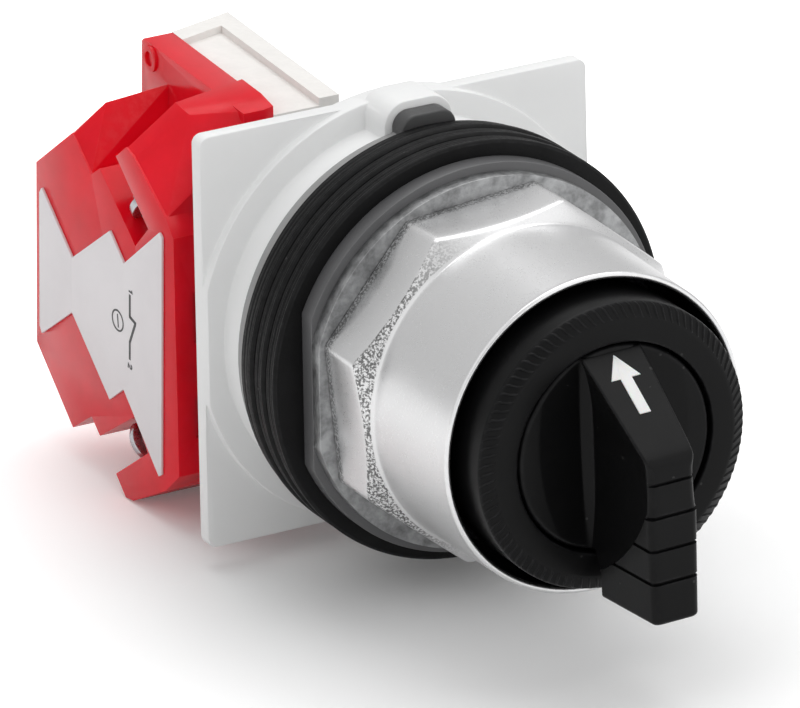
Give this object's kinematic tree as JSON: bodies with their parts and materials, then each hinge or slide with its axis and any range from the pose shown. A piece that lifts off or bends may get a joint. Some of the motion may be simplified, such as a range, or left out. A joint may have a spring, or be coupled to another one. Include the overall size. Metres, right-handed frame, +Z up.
{
  "type": "rotary selector switch",
  "caption": "Panel selector switch: black lever knob, chrome ring nut, gaskets on a square translucent plate, with a red contact block behind one side.",
  "frame": {"origin": "on the switch axis, in the front face of the translucent mounting plate", "axes": "+X to the right seen from the front, +Y along the switch axis to the rear, +Z up; the lever points to -Y"},
  "size_m": [0.0446, 0.0962, 0.0486],
  "materials": {
    "milky_nylon": "translucent satin",
    "grey_polymer": "satin",
    "black_rubber": "matt",
    "dark_steel": "satin",
    "bright_chrome": "polished",
    "rough_zinc": "cast",
    "steel": "machined",
    "black_plastic": "semi gloss",
    "white_plastic": "satin",
    "cam_polymer": "satin",
    "brass": "satin",
    "red_clear_plastic": "translucent gloss",
    "clear_plastic": "translucent gloss",
    "label_film": "satin"
  },
  "bodies": {
    "operator": {"mounting_plate": "milky_nylon", "locating_ring": "grey_polymer", "gasket_1": "black_rubber", "gasket_2": "black_rubber", "gasket_3": "black_rubber", "gasket_4": "black_rubber", "gasket_5": "black_rubber", "gasket_6": "black_rubber", "thrust_washer": "dark_steel", "trim_washer": "rough_zinc", "ring_nut": "bright_chrome", "operator_body": "rough_zinc", "rear_cover": "rough_zinc", "cover_screw_1": "steel", "cover_screw_2": "steel", "cover_screw_3": "steel", "cover_screw_4": "steel", "bezel_ring": "black_plastic", "shaft_seal": "black_rubber", "detent_carrier": "brass", "detent_ball_1": "steel", "detent_ball_2": "steel", "detent_spring_1": "steel", "detent_spring_2": "steel", "red_housing": "red_clear_plastic", "clear_housing": "clear_plastic", "label_plate": "label_film", "return_spring": "steel", "fixed_contact_upper": "brass", "fixed_contact_lower": "brass", "terminal_screw_upper": "steel", "terminal_screw_lower": "steel", "wire_clamp_upper": "steel", "wire_clamp_lower": "steel", "block_screw_upper": "steel", "block_screw_lower": "steel"},
    "selector": {"knob": "black_plastic", "arrow_insert": "white_plastic", "spindle": "steel", "retaining_clip": "steel", "cam": "cam_polymer", "cam_screw": "steel"},
    "left_pusher": {"pusher_left": "white_plastic"},
    "right_pusher": {"pusher_right": "white_plastic"},
    "contact_slide": {"plunger": "white_plastic", "contact_bridge": "brass"}
  },
  "joints": [
    {"name": "selector_turn", "type": "hinge", "parent": "operator", "child": "selector", "pos_m": [0, 0, 0], "axis": [0, -1, 0], "range_deg": [-45, 45]},
    {"name": "left_pusher_slide", "type": "slide", "parent": "operator", "child": "left_pusher", "axis": [0, 1, 0], "range_m": [-0.0015, 0.0015]},
    {"name": "right_pusher_slide", "type": "slide", "parent": "operator", "child": "right_pusher", "axis": [0, 1, 0], "range_m": [-0.0015, 0.0015]},
    {"name": "contact_slide_move", "type": "slide", "parent": "operator", "child": "contact_slide", "axis": [0, 1, 0], "range_m": [-0.0015, 0.0015]}
  ],
  "couplings": [
    {"joint": "left_pusher_slide", "follows": "selector_turn", "m_per_rad": 0.0019},
    {"joint": "right_pusher_slide", "follows": "selector_turn", "m_per_rad": -0.0019},
    {"joint": "contact_slide_move", "follows": "selector_turn", "m_per_rad": 0.0019}
  ]
}
